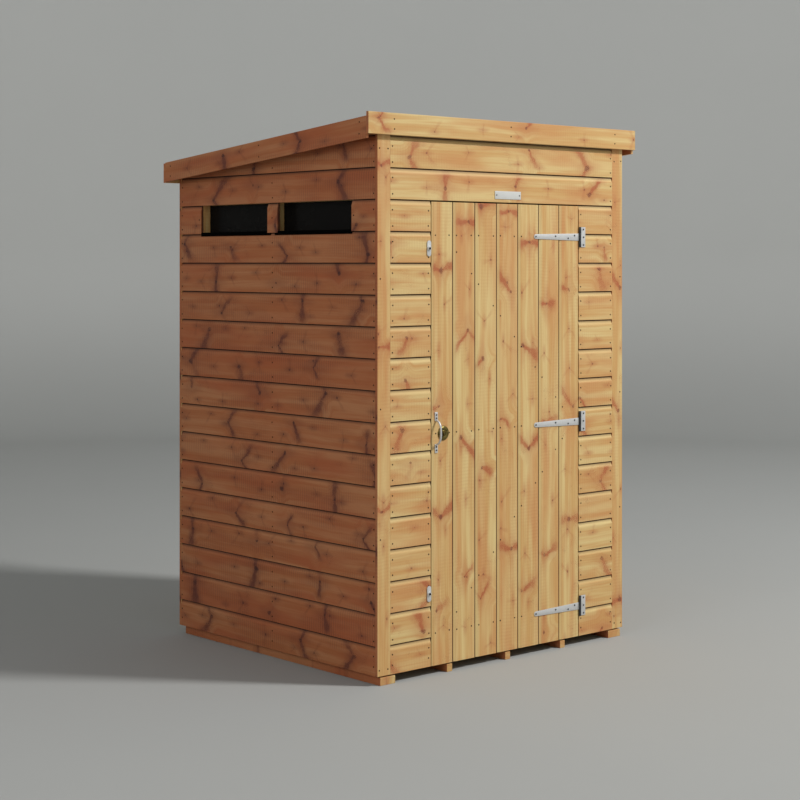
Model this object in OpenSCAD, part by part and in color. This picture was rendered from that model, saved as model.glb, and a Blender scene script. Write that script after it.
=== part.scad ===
// Pent shed: shiplap walls on a timber frame, a single ledged and braced door,
// two high side windows and a roof that falls to the back.
// The front looks along -Y, the origin is on the ground under the middle of the walls.

/* [Walls] */
// Width over the side cladding
body_w = 1287; // [1100:1:1900]
// Depth over the front and back cladding
body_d = 1210; // [1000:1:1900]
// Height of the roof's edge over the front wall
front_h = 1991; // [1940:1:2400]
// Height of the roof's edge over the back wall
back_h = 1881; // [1850:1:1935]
// Gap between the ground and the lower edge of the cladding
cladding_z = 33; // [20:1:40]
// Thickness of the cladding boards
board_t = 12; // [8:0.5:16]
// Depth of the wall framing behind the cladding
frame_t = 34; // [26:1:50]
// Width of a framing stud or rail across its face
stud_w = 28; // [22:1:44]
// Width of the corner trims
trim_w = 60; // [40:1:80]

/* [Boards] */
// Cover height of one cladding board
board_cover = 112; // [90:1:130]
// Height of the lowest joint between boards
first_joint = 137; // [100:1:150]

/* [Floor] */
// Height of the bearers
bearer_h = 44; // [42:1:70]
// Width of an outer bearer
bearer_outer_w = 70; // [50:1:90]
// Width of an inner bearer
bearer_inner_w = 26; // [22:1:50]
// Clearance between the toes of the bearers and the lower edge of the cladding
toe_clear = 5; // [4:0.5:10]
// Set-back of the outer bearers from the frame's outer face
bearer_in = 1; // [0:1:10]
// Thickness of the floor boards
floor_t = 12; // [9:1:20]
// Set-back of the bearers from the back of the shed
bearer_back = 25; // [13:1:60]

/* [Roof] */
// Overhang of the roof at each side, over the barge boards
side_overhang = 58; // [45:1:90]
// Overhang of the roof at the front, over the fascia
front_overhang = 18; // [15:1:60]
// Overhang of the roof at the back, over the fascia
back_overhang = 29; // [20:1:60]
// Height of the barge boards and fascias
fascia_h = 77; // [60:1:100]
// Thickness of the barge boards and fascias
fascia_t = 12; // [9:1:20]
// Rise of the front fascia over the roof's edge
fascia_rise = 15; // [5:1:25]
// Thickness of the roof boards
roof_t = 12; // [9:1:20]
// Thickness of the roofing felt
felt_t = 2; // [1:0.5:4]
// Depth of the felt below the roof's edge
felt_drop = 3; // [1:0.5:6]
// Seat clearance between the roof boards and what carries them
roof_seat = 0.2; // [0.1:0.05:0.5]
// Height of the rafters and edge battens
rafter_h = 34; // [26:1:60]
// Distance of the rafters from the middle
rafter_x = 215; // [120:1:300]

/* [Door] */
// Width of the doorway
doorway_w = 781; // [620:1:860]
// Height of the top of the doorway over the ground
doorway_top = 1705; // [1690:1:1760]
// Gap round the door leaf
door_gap = 5; // [4:0.5:8]
// Thickness of the ledges and braces
ledge_t = 22; // [16:1:30]
// Height of a ledge
ledge_h = 94; // [70:1:110]
// Gap between the ends of the ledges and the doorway
ledge_gap = 14; // [10:1:30]
// Level width of a brace over its square width
brace_skew = 1.2; // [1.1:0.05:1.5]
// Distance of the braces from the ends of the ledges
brace_in = 20; // [0:1:40]
// Width of a brace
brace_w = 70; // [50:1:90]
// Height of the middle of the top ledge
ledge_top_z = 1580; // [1500:1:1620]
// Height of the middle of the middle ledge
ledge_mid_z = 866; // [800:1:930]
// Height of the middle of the bottom ledge
ledge_low_z = 150; // [125:1:200]

/* [Hinges] */
// Distance of the hinge pins from the doorway, over the wall
hinge_out = 2; // [0:0.5:4]
// Length of a hinge strap from the pin to its tip
strap_l = 252; // [180:1:300]
// Width of a strap at the pin
strap_w = 28; // [22:1:36]
// Width of a strap at its tip
strap_tip_w = 18; // [12:1:22]
// Thickness of the hinge metal
hinge_t = 2; // [1.5:0.5:3]
// Height of the hinge plate on the wall
plate_h = 78; // [60:1:110]
// Width of the hinge plate from its knuckle
plate_w = 28; // [18:1:40]
// Outer radius of the knuckles
knuckle_r = 4.5; // [4:0.5:7]
// Radius of the hinge pin
pin_r = 2.5; // [1.5:0.25:3]
// Running clearance of the pin in the strap's knuckle
pin_clear = 0.08; // [0.02:0.01:0.1]
// End clearance between two knuckles
knuckle_gap = 0.5; // [0.3:0.1:1]

/* [Handle and lock] */
// Distance of the handle from the door's left edge
handle_in = 20.5; // [14:0.5:60]
// Height of the handle's middle
handle_z = 870; // [800:1:1000]
// Length of the handle over its feet
handle_l = 147; // [110:1:200]
// Stand-off of the handle's bow over the door
handle_out = 30; // [22:1:45]
// Radius of the handle's rod
handle_rod_r = 4; // [3:0.5:6]
// Height of a handle foot
foot_h = 32; // [24:1:36]
// Width of a handle foot
foot_w = 14; // [10:1:20]
// Thickness of a handle foot
foot_t = 3; // [2:0.5:5]
// Distance of the lock's middle from the door's left edge
lock_in = 55.5; // [45:0.5:120]
// Height of the lock's middle
lock_z = 866; // [800:1:1000]
// Diameter of the round lock rose
rose_d = 53; // [36:1:60]
// Stand-off of the rose's rim over the door
rose_t = 6; // [4:0.5:10]
// Width of the rim lock's case
case_w = 86; // [70:1:110]
// Height of the rim lock's case
case_h = 66; // [50:1:90]
// Thickness of the rim lock's case
case_t = 20; // [16:1:26]
// Distance of the lock case from the door's free edge
case_in = 12; // [8:1:20]
// Width of the lock's keep
keep_w = 24; // [18:1:30]
// Height of the lock's keep
keep_h = 50; // [36:1:60]
// Radius of the key barrel
barrel_r = 9; // [7:0.5:10]
// Stand-off of the key barrel over the door
barrel_out = 14; // [8:1:20]

/* [Turn buttons] */
// Length of a turn button
button_l = 57; // [44:1:70]
// Width of a turn button
button_w = 19; // [14:1:20]
// Thickness of a turn button's plate
button_t = 2; // [1.5:0.5:3]
// Height of the raised middle of a turn button
button_rise = 3; // [2:0.5:5]
// Clearance between a turn button and the cladding
button_clear = 1; // [0.5:0.25:2]
// Distance of the button's screw from the doorway
button_out = 10; // [10:0.5:16]
// Height of the upper turn button
button_top_z = 1532; // [1400:1:1600]
// Height of the lower turn button
button_low_z = 294; // [200:1:400]
// Radius of the screw that holds a turn button
screw_r = 2.1; // [1.5:0.1:3]
// Play between a turn button and its screw's head
screw_play = 0.3; // [0.1:0.1:0.6]

/* [Windows] */
// Distance of the windows from the front of the shed
window_front = 141; // [120:1:220]
// Distance of the windows from the back of the shed
window_back = 148; // [120:1:220]
// Width of the mullion between the windows
mullion_w = 61; // [40:1:90]
// Width of the mullion's foot between the sill strips
mullion_foot_w = 25; // [20:1:28]
// Height of the black sill strips
strip_h = 15; // [8:1:20]
// Depth of a sill strip below the lowest joint of the window
strip_drop = 9; // [4:1:12]
// Thickness of a window pane
pane_t = 2; // [1.5:0.5:4]
// Lap of a pane over its frame
pane_lap = 9; // [5:1:11]

/* [Plate] */
// Width of the blank plate over the door
plate_blank_w = 136; // [80:1:200]
// Height of the blank plate over the door
plate_blank_h = 30; // [20:1:50]
// Thickness of the blank plate
plate_blank_t = 2; // [1:0.5:4]
// Height of the plate's middle over the doorway
plate_blank_rise = 27; // [20:1:60]

/* [Hidden] */
$fn = 48;

// Outer faces of the walls
half_w = body_w / 2;
half_d = body_d / 2;
// Inner faces of the cladding, which are the outer faces of the frame
frame_x = half_w - board_t;
frame_y = half_d - board_t;
// Inner faces of the frame
room_x = frame_x - frame_t;
room_y = frame_y - frame_t;

// Floor
floor_z = bearer_h;
floor_top = floor_z + floor_t;
floor_front = -frame_y + door_gap;
// Height of the toes of the bearers, which pass under the cladding and the door
toe_h = cladding_z - toe_clear;
// Lap of one shape into the next where both make one solid
join_lap = 1;

// Roof: everything below is measured straight down from the roof's edge line
roof_slope = (front_h - back_h) / body_d;
deck_top_drop = felt_drop + felt_t;
wall_top_drop = deck_top_drop + roof_t + roof_seat;
roof_front = -half_d - front_overhang + fascia_t;
roof_back = half_d + back_overhang - fascia_t;
barge_in = half_w + side_overhang - fascia_t;

// Windows: one board high, between two joints of the cladding
boards_to_window = 13;
window_z0 = first_joint + boards_to_window * board_cover;
window_z1 = window_z0 + board_cover;
window_y0 = -half_d + window_front;
window_y1 = half_d - window_back;
mullion_y = (window_y0 + window_y1) / 2;
strip_z = window_z0 - strip_drop;

// Door
leaf_half = doorway_w / 2 - door_gap;
leaf_top = doorway_top - door_gap;
jamb_x = doorway_w / 2;
ledge_half = jamb_x - ledge_gap;
// Level width of a brace where it meets a ledge
brace_cut = brace_w * brace_skew;
hinge_x = jamb_x + hinge_out;
hinge_y = -half_d - knuckle_r;
hinge_zs = [ledge_top_z, ledge_mid_z, ledge_low_z];
handle_x = -leaf_half + handle_in;
lock_x = -leaf_half + lock_in;
button_x = -jamb_x - button_out;

// Height of the roof's edge line at a place along the shed
function roof_z(y) = front_h - (y + half_d) * roof_slope;

// A box given by its low and high corners
module block(low, high) {
    translate(low) cube(high - low);
}

// A slab that follows the roof, a set drop under its edge line
module roof_slab(x0, x1, y0, y1, drop, thick) {
    translate([x0, 0, 0]) rotate([90, 0, 90]) linear_extrude(height = x1 - x0)
        polygon([
            [y0, roof_z(y0) - drop - thick], [y1, roof_z(y1) - drop - thick],
            [y1, roof_z(y1) - drop], [y0, roof_z(y0) - drop]
        ]);
}

// A wall piece with a level foot, cut at the top by the underside of the roof
module wall_piece(x0, x1, y0, y1, z0) {
    translate([x0, 0, 0]) rotate([90, 0, 90]) linear_extrude(height = x1 - x0)
        polygon([
            [y0, z0], [y1, z0],
            [y1, roof_z(y1) - wall_top_drop], [y0, roof_z(y0) - wall_top_drop]
        ]);
}

// A pair of like pieces, mirrored about the middle of the shed
module both_sides() {
    children();
    mirror([1, 0, 0]) children();
}

// ---------------------------------------------------------------- floor

// A bearer with a low toe that reaches the front of the shed
module bearer(x0, x1) {
    block([x0, floor_front, 0], [x1, half_d - bearer_back, bearer_h]);
    block([x0, -half_d, 0], [x1, floor_front + join_lap, toe_h]);
}

module bearers_outer() {
    color("#b98b52") both_sides()
        bearer(frame_x - bearer_in - bearer_outer_w, frame_x - bearer_in);
}

module bearers_inner() {
    reach = frame_x - bearer_in - bearer_outer_w / 2;
    color("#b98b52") for (i = [-1:1])
        bearer((i * reach - bearer_inner_w) / 2, (i * reach + bearer_inner_w) / 2);
}

module floor_deck() {
    color("#c9a066") block([-frame_x, floor_front, floor_z], [frame_x, frame_y, floor_top]);
}

// ---------------------------------------------------------------- cladding

// Front cladding beside the doorway, between a corner trim and the doorway
module front_cladding_side() {
    wall_piece(-half_w + trim_w, -jamb_x, -half_d, -frame_y, cladding_z);
}

module front_cladding_left() {
    color("#cda267") front_cladding_side();
}

module front_cladding_right() {
    color("#cda267") mirror([1, 0, 0]) front_cladding_side();
}

module front_cladding_top() {
    color("#cda267") wall_piece(-jamb_x, jamb_x, -half_d, -frame_y, doorway_top);
}

module corner_trims_front() {
    color("#cfa96c") both_sides()
        wall_piece(half_w - trim_w, half_w, -half_d, -frame_y, cladding_z);
}

module corner_trims_back() {
    color("#cfa96c") both_sides()
        wall_piece(half_w - trim_w, half_w, frame_y, half_d, cladding_z);
}

module left_cladding_lower() {
    color("#8a5a38") block([-half_w, -frame_y, cladding_z], [-frame_x, frame_y, strip_z]);
}

module left_cladding_upper() {
    color("#8a5a38") wall_piece(-half_w, -frame_x, -frame_y, frame_y, window_z1);
}

module left_cladding_front() {
    color("#8a5a38") block([-half_w, -frame_y, strip_z], [-frame_x, window_y0, window_z1]);
}

module left_cladding_back() {
    color("#8a5a38") block([-half_w, window_y1, strip_z], [-frame_x, frame_y, window_z1]);
}

module window_mullion() {
    color("#9a6a44") {
        block([-half_w, mullion_y - mullion_w / 2, strip_z + strip_h],
              [-frame_x, mullion_y + mullion_w / 2, window_z1]);
        block([-half_w, mullion_y - mullion_foot_w / 2, strip_z],
              [-frame_x, mullion_y + mullion_foot_w / 2, strip_z + strip_h]);
    }
}

module window_strips() {
    recess = 1;
    color("#101010") {
        block([-half_w + recess, window_y0, strip_z],
              [-frame_x, mullion_y - mullion_foot_w / 2, strip_z + strip_h]);
        block([-half_w + recess, mullion_y + mullion_foot_w / 2, strip_z],
              [-frame_x, window_y1, strip_z + strip_h]);
    }
}

module window_panes() {
    color("#15171a") {
        block([-room_x, window_y0 - pane_lap, window_z0 - pane_lap],
              [-room_x + pane_t, mullion_y - stud_w / 2 + pane_lap, window_z1 + pane_lap]);
        block([-room_x, mullion_y + stud_w / 2 - pane_lap, window_z0 - pane_lap],
              [-room_x + pane_t, window_y1 + pane_lap, window_z1 + pane_lap]);
    }
}

module right_cladding() {
    color("#8a5a38") wall_piece(frame_x, half_w, -frame_y, frame_y, cladding_z);
}

module back_cladding() {
    color("#8a5a38") wall_piece(-half_w + trim_w, half_w - trim_w, frame_y, half_d, cladding_z);
}

// ---------------------------------------------------------------- framing

// Upright studs of a wall that runs across the shed, at the given left edges
module studs_across(lefts, y0, y1) {
    for (x = lefts)
        wall_piece(x, x + stud_w, y0, y1, floor_top);
}

// Upright studs of a wall that runs front to back, at the given front edges
module studs_along(fronts, x0, x1) {
    for (y = fronts)
        wall_piece(x0, x1, y, y + stud_w, floor_top);
}

// A rail under the roof between two studs
module top_rail(x0, x1, y0, y1) {
    roof_slab(x0, x1, y0, y1, wall_top_drop, stud_w);
}

module front_studs() {
    color("#b98b52")
        studs_across([-frame_x, -jamb_x - stud_w, jamb_x, frame_x - stud_w], -frame_y, -room_y);
}

module front_rails() {
    bay0 = -frame_x + stud_w;
    bay1 = -jamb_x - stud_w;
    color("#b98b52") {
        both_sides() {
            block([bay0, -frame_y, floor_top], [bay1, -room_y, floor_top + stud_w]);
            top_rail(bay0, bay1, -frame_y, -room_y);
        }
        block([-jamb_x, -frame_y, doorway_top], [jamb_x, -room_y, doorway_top + stud_w]);
        top_rail(-jamb_x, jamb_x, -frame_y, -room_y);
    }
}

// Front edges of the studs in the left wall: corners, window jambs and mullion post
left_stud_ys = [
    -room_y, window_y0 - stud_w, mullion_y - stud_w / 2, window_y1, room_y - stud_w
];

module left_studs() {
    color("#b98b52") studs_along(left_stud_ys, -frame_x, -room_x);
}

module left_rails() {
    color("#b98b52") for (i = [0:3]) {
        y0 = left_stud_ys[i] + stud_w;
        y1 = left_stud_ys[i + 1];
        block([-frame_x, y0, floor_top], [-room_x, y1, floor_top + stud_w]);
        top_rail(-frame_x, -room_x, y0, y1);
        if (i == 1 || i == 2) {
            block([-frame_x, y0, window_z0 - stud_w], [-room_x, y1, window_z0]);
            block([-frame_x, y0, window_z1], [-room_x, y1, window_z1 + stud_w]);
        }
    }
}

right_stud_ys = [-room_y, -stud_w / 2, room_y - stud_w];

module right_studs() {
    color("#b98b52") studs_along(right_stud_ys, room_x, frame_x);
}

module right_rails() {
    color("#b98b52") for (i = [0:1]) {
        y0 = right_stud_ys[i] + stud_w;
        y1 = right_stud_ys[i + 1];
        block([room_x, y0, floor_top], [frame_x, y1, floor_top + stud_w]);
        top_rail(room_x, frame_x, y0, y1);
    }
}

back_stud_xs = [-frame_x, -stud_w / 2, frame_x - stud_w];

module back_studs() {
    color("#b98b52") studs_across(back_stud_xs, room_y, frame_y);
}

module back_rails() {
    color("#b98b52") for (i = [0:1]) {
        x0 = back_stud_xs[i] + stud_w;
        x1 = back_stud_xs[i + 1];
        block([x0, room_y, floor_top], [x1, frame_y, floor_top + stud_w]);
        top_rail(x0, x1, room_y, frame_y);
    }
}

// ---------------------------------------------------------------- roof

module rafters() {
    color("#b98b52") both_sides()
        roof_slab(rafter_x - stud_w / 2, rafter_x + stud_w / 2, -room_y, room_y, wall_top_drop, rafter_h);
}

module edge_battens() {
    color("#b98b52") both_sides()
        roof_slab(barge_in - stud_w, barge_in, roof_front, roof_back, wall_top_drop, rafter_h);
}

module roof_deck() {
    color("#c9a066") roof_slab(-barge_in, barge_in, roof_front, roof_back, deck_top_drop, roof_t);
}

module roof_felt() {
    color("#3b3d3c") roof_slab(-barge_in, barge_in, roof_front, roof_back, felt_drop, felt_t);
}

module barge() {
    roof_slab(barge_in, barge_in + fascia_t, roof_front, roof_back, 0, fascia_h);
}

module barge_left() {
    color("#c08a50") mirror([1, 0, 0]) barge();
}

module barge_right() {
    color("#c08a50") barge();
}

module fascia_front() {
    top = roof_z(roof_front) + fascia_rise;
    color("#cda267") block([-barge_in - fascia_t, roof_front - fascia_t, top - fascia_h],
                           [barge_in + fascia_t, roof_front, top]);
}

module fascia_back() {
    top = roof_z(roof_back) - felt_drop;
    color("#cda267") block([-barge_in - fascia_t, roof_back, top - fascia_h],
                           [barge_in + fascia_t, roof_back + fascia_t, top]);
}

// ---------------------------------------------------------------- door

module door_boards() {
    color("#cda267") block([-leaf_half, -half_d, cladding_z], [leaf_half, -frame_y, leaf_top]);
}

// A ledge across the inside of the door, at the given height
module ledge(z) {
    block([-ledge_half, -frame_y, z - ledge_h / 2], [ledge_half, -frame_y + ledge_t, z + ledge_h / 2]);
}

module door_ledges() {
    color("#b98b52") for (z = [ledge_top_z, ledge_mid_z, ledge_low_z]) ledge(z);
}

// A brace between two ledges: foot and head are [x, z] of its lower left corners
module brace(foot, head) {
    translate([0, -frame_y + ledge_t, 0]) rotate([90, 0, 0]) linear_extrude(height = ledge_t)
        polygon([foot, [foot[0] + brace_cut, foot[1]], [head[0] + brace_cut, head[1]], head]);
}

// The braces run from the hinge side of the middle ledge up and down to the free side
module door_braces() {
    free_x = -ledge_half + brace_in;
    hung_x = ledge_half - brace_in - brace_cut;
    color("#b98b52") {
        brace([hung_x, ledge_mid_z + ledge_h / 2], [free_x, ledge_top_z - ledge_h / 2]);
        brace([free_x, ledge_low_z + ledge_h / 2], [hung_x, ledge_mid_z - ledge_h / 2]);
    }
}

// ---------------------------------------------------------------- hinges

// The strap on the door, with its knuckle in the middle of the hinge
module hinge_strap(z) {
    tip_r = strap_tip_w / 2;
    translate([hinge_x, hinge_y, z]) difference() {
        union() {
            translate([0, knuckle_r, 0]) rotate([90, 0, 0]) linear_extrude(height = hinge_t) {
                polygon([
                    [0, -strap_w / 2], [0, strap_w / 2],
                    [-strap_l + tip_r, tip_r], [-strap_l + tip_r, -tip_r]
                ]);
                translate([-strap_l + tip_r, 0]) circle(r = tip_r);
            }
            translate([0, 0, -strap_w / 2]) cylinder(r = knuckle_r, h = strap_w);
        }
        translate([0, 0, -strap_w / 2 - 1]) cylinder(r = pin_r + pin_clear, h = strap_w + 2);
    }
}

// The plate on the wall, with its two knuckles and the pin
module hinge_plate(z) {
    knuckle_h = (plate_h - strap_w) / 2 - knuckle_gap;
    leaf_x = knuckle_r + knuckle_gap;
    translate([hinge_x, hinge_y, z]) {
        block([leaf_x, knuckle_r - hinge_t, -plate_h / 2], [leaf_x + plate_w, knuckle_r, plate_h / 2]);
        for (s = [-1, 1]) {
            mid = s * (plate_h - knuckle_h) / 2;
            block([0, knuckle_r - hinge_t, mid - knuckle_h / 2],
                  [leaf_x + join_lap, knuckle_r, mid + knuckle_h / 2]);
            translate([0, 0, mid - knuckle_h / 2]) cylinder(r = knuckle_r, h = knuckle_h);
        }
        translate([0, 0, -plate_h / 2]) cylinder(r = pin_r, h = plate_h);
    }
}

module hinge_strap_top() { color("#b9bcbd") hinge_strap(hinge_zs[0]); }
module hinge_strap_middle() { color("#b9bcbd") hinge_strap(hinge_zs[1]); }
module hinge_strap_bottom() { color("#b9bcbd") hinge_strap(hinge_zs[2]); }
module hinge_plate_top() { color("#b9bcbd") hinge_plate(hinge_zs[0]); }
module hinge_plate_middle() { color("#b9bcbd") hinge_plate(hinge_zs[1]); }
module hinge_plate_bottom() { color("#b9bcbd") hinge_plate(hinge_zs[2]); }

// ---------------------------------------------------------------- handle and lock

// A bow handle: a bent rod between two screwed feet
module pull_handle() {
    span = handle_l - 2 * foot_h + 2 * handle_rod_r;
    rise = handle_out - handle_rod_r;
    bow_r = (span * span / 4 + rise * rise) / (2 * rise);
    sweep = 2 * asin(span / 2 / bow_r);
    color("#c4c6c7") translate([handle_x, -half_d, handle_z]) {
        for (s = [-1, 1])
            block([-foot_w / 2, -foot_t, s * (handle_l - foot_h) / 2 - foot_h / 2],
                  [foot_w / 2, 0, s * (handle_l - foot_h) / 2 + foot_h / 2]);
        intersection() {
            translate([0, -rise + bow_r, 0]) rotate([0, -90, 0]) rotate([0, 0, 270 - sweep / 2])
                rotate_extrude(angle = sweep, $fn = 64)
                    translate([bow_r, 0]) circle(r = handle_rod_r, $fn = 24);
            block([-foot_w, -handle_out - 1, -handle_l / 2], [foot_w, 0, handle_l / 2]);
        }
    }
}

// The round rose of the rim lock, with the key barrel standing in its middle
module lock_rose() {
    rim_r = rose_d / 2;
    rim_edge_h = rose_t * 0.4;
    dish_h = rose_t * 0.6;
    rim_slope = 4;
    rim_w = 5;
    color("#8f7a3c") translate([lock_x, -half_d, lock_z]) rotate([90, 0, 0]) rotate_extrude()
        polygon([
            [0, 0], [rim_r, 0], [rim_r, rim_edge_h], [rim_r - rim_slope, rose_t],
            [rim_r - rim_slope - rim_w, rose_t], [barrel_r, dish_h],
            [barrel_r, barrel_out], [0, barrel_out]
        ]);
}

module lock_case() {
    color("#26282a") translate([lock_x, -frame_y + ledge_t, lock_z])
        block([-lock_in + case_in, 0, -case_h / 2], [-lock_in + case_in + case_w, case_t, case_h / 2]);
}

module lock_keep() {
    keep_t = case_t / 2;
    keep_in = 1;
    color("#26282a") block([-jamb_x - keep_w, -room_y, lock_z - keep_h / 2],
                           [-jamb_x - keep_in, -room_y + keep_t, lock_z + keep_h / 2]);
}

// ---------------------------------------------------------------- turn buttons

// A pressed button that turns on a screw, stored upright beside the door
module turn_button(z) {
    boss_edge = 1.5;
    boss_r = button_w / 2 - boss_edge;
    translate([button_x, -half_d - button_clear, z]) rotate([90, 0, 0]) difference() {
        union() {
            linear_extrude(height = button_t) {
                square([button_w, button_l - button_w], center = true);
                for (s = [-1, 1])
                    translate([0, s * (button_l - button_w) / 2]) circle(r = button_w / 2);
            }
            cylinder(r = boss_r, h = button_t + button_rise);
        }
        translate([0, 0, -1]) cylinder(r = screw_r + pin_clear, h = button_t + button_rise + 2);
    }
}

module turn_button_top() { color("#c4c6c7") turn_button(button_top_z); }
module turn_button_bottom() { color("#c4c6c7") turn_button(button_low_z); }

module turn_screws() {
    head_r = 4.2;
    head_t = 2.2;
    stack = button_clear + button_t + button_rise + screw_play;
    color("#3a3c3e") for (z = [button_top_z, button_low_z])
        translate([button_x, -half_d, z]) rotate([90, 0, 0]) {
            cylinder(r = screw_r, h = stack + head_t);
            translate([0, 0, stack]) cylinder(r = head_r, h = head_t);
        }
}

// ---------------------------------------------------------------- plate

module blank_plate() {
    mid_z = doorway_top + plate_blank_rise;
    color("#e8e8e4") block([-plate_blank_w / 2, -half_d - plate_blank_t, mid_z - plate_blank_h / 2],
                           [plate_blank_w / 2, -half_d, mid_z + plate_blank_h / 2]);
}

bearers_outer();
bearers_inner();
floor_deck();
front_cladding_left();
front_cladding_right();
front_cladding_top();
corner_trims_front();
corner_trims_back();
left_cladding_lower();
left_cladding_upper();
left_cladding_front();
left_cladding_back();
window_mullion();
window_panes();
window_strips();
right_cladding();
back_cladding();
front_studs();
front_rails();
left_studs();
left_rails();
right_studs();
right_rails();
back_studs();
back_rails();
rafters();
edge_battens();
roof_deck();
roof_felt();
fascia_front();
fascia_back();
barge_left();
barge_right();
blank_plate();
lock_keep();
hinge_plate_top();
hinge_plate_middle();
hinge_plate_bottom();
door_boards();
door_ledges();
door_braces();
hinge_strap_top();
hinge_strap_middle();
hinge_strap_bottom();
pull_handle();
lock_rose();
lock_case();
turn_button_top();
turn_button_bottom();
turn_screws();
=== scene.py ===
"""Looks of a small pent shed: shiplap boards, framing, felt roof, door fittings and a plain stage."""

import math
import random
from contextlib import contextmanager

import bmesh
import bpy
import numpy as np
from bpy.props import FloatProperty, FloatVectorProperty, IntProperty, PointerProperty
from mathutils import Matrix, Vector


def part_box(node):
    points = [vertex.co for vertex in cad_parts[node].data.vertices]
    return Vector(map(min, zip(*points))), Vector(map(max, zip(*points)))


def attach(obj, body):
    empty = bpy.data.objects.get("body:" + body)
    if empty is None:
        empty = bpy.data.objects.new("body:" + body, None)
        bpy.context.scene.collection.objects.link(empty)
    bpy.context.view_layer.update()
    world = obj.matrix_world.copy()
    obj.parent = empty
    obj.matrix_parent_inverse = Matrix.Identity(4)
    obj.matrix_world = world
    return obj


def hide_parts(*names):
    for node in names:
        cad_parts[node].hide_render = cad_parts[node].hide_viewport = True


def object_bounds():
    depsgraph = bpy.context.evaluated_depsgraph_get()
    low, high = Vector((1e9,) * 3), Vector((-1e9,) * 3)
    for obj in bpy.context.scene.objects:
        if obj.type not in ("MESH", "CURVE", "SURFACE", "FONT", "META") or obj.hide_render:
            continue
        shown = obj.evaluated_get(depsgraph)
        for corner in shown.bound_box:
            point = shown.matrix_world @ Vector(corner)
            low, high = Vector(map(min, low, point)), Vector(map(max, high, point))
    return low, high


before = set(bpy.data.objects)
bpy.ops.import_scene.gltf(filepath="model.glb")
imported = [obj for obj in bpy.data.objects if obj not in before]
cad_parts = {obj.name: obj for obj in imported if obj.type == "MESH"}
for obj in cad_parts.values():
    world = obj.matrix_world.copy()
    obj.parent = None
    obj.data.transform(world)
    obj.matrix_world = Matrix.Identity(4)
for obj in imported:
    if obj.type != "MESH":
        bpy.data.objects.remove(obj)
CAD_BOX = [list(corner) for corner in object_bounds()]

bl_info = {
    "name": "Pent shed finisher",
    "version": (1, 0, 0),
    "blender": (4, 5, 0),
    "location": "View3D > Sidebar > Shed",
    "description": "Builds the boards, fittings and finishes of a pent shed round its frame",
    "category": "Object",
}

MM = 0.001
GRAIN = "grain"
TINT = "tint"
HEX = {"X": Vector((1, 0, 0)), "Y": Vector((0, 1, 0)), "Z": Vector((0, 0, 1))}


# ------------------------------------------------------------------ settings


def length(label, about, value, low, high):
    """A size property in metres."""
    return FloatProperty(
        name=label, description=about, default=value, min=low, max=high, unit="LENGTH", precision=4
    )


def colour(label, about, value):
    """A colour property in linear light."""
    return FloatVectorProperty(
        name=label, description=about, default=value, min=0.0, max=1.0, size=3, subtype="COLOR"
    )


class ShedSizes(bpy.types.PropertyGroup):
    """Sizes of the boards and small parts."""

    cover: length("Board cover", "Height that one cladding board covers", 112 * MM, 0.08, 0.14)
    scoop_height: length("Scoop height", "Height of the hollow along a board's top edge", 21 * MM, 0.01, 0.03)
    scoop_depth: length("Scoop depth", "Depth of the hollow along a board's top edge", 5 * MM, 0.002, 0.009)
    joint_gap: length("Joint gap", "Width of the gap between two wall boards", 3 * MM, 0.001, 0.006)
    door_gap: length("Door joint gap", "Width of the gap between two door boards", 5.2 * MM, 0.001, 0.007)
    nail_radius: length("Nail radius", "Radius of a nail's head", 2.9 * MM, 0.001, 0.004)
    edge_round: length("Edge rounding", "Rounding of sawn and planed edges", 1.2 * MM, 0.0003, 0.004)
    floor_board: length("Floor board", "Cover width of a floor or roof board", 95 * MM, 0.06, 0.15)
    seed: IntProperty(name="Seed", description="Seed of the random grain and nails", default=7, min=0)


class ShedColours(bpy.types.PropertyGroup):
    """Colours of the finishes."""

    pale: colour("Pale wood", "Palest streaks of the front boards", (0.71, 0.53, 0.23))
    mid: colour("Wood", "Main colour of the front boards", (0.615, 0.37, 0.13))
    warm: colour("Warm wood", "Orange streaks of the front boards", (0.585, 0.265, 0.09))
    flame: colour("Flame", "Red-brown flames beside the knots", (0.42, 0.105, 0.035))
    knot: colour("Knot", "Core of a knot", (0.20, 0.055, 0.024))
    # Painted shade: the left wall and the left-facing faces of trims and framing take the front tones times
    # these shares, darker and redder, for the side the key light does not reach.
    shade: colour("Left side shade", "Share of each colour let through by the painted shade of the left side", (0.70, 0.385, 0.36))
    shade_flame: colour("Left side shade on knots", "Share let through on the knots", (0.30, 0.28, 0.50))
    zinc: colour("Zinc", "Bright zinc of the hinges, handle and buttons", (0.66, 0.66, 0.65))
    brass: colour("Brass", "Aged brass of the lock rose", (0.20, 0.155, 0.045))
    felt: colour("Felt", "Mineral felt on the roof", (0.060, 0.064, 0.066))
    ground: colour("Ground", "Floor of the stage", (0.40, 0.405, 0.39))
    backdrop: colour("Backdrop", "Backdrop of the stage", (0.60, 0.605, 0.585))


def sizes():
    return bpy.context.scene.shed_sizes


def colours():
    return bpy.context.scene.shed_colours


# ------------------------------------------------------------------ shader sums


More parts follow.
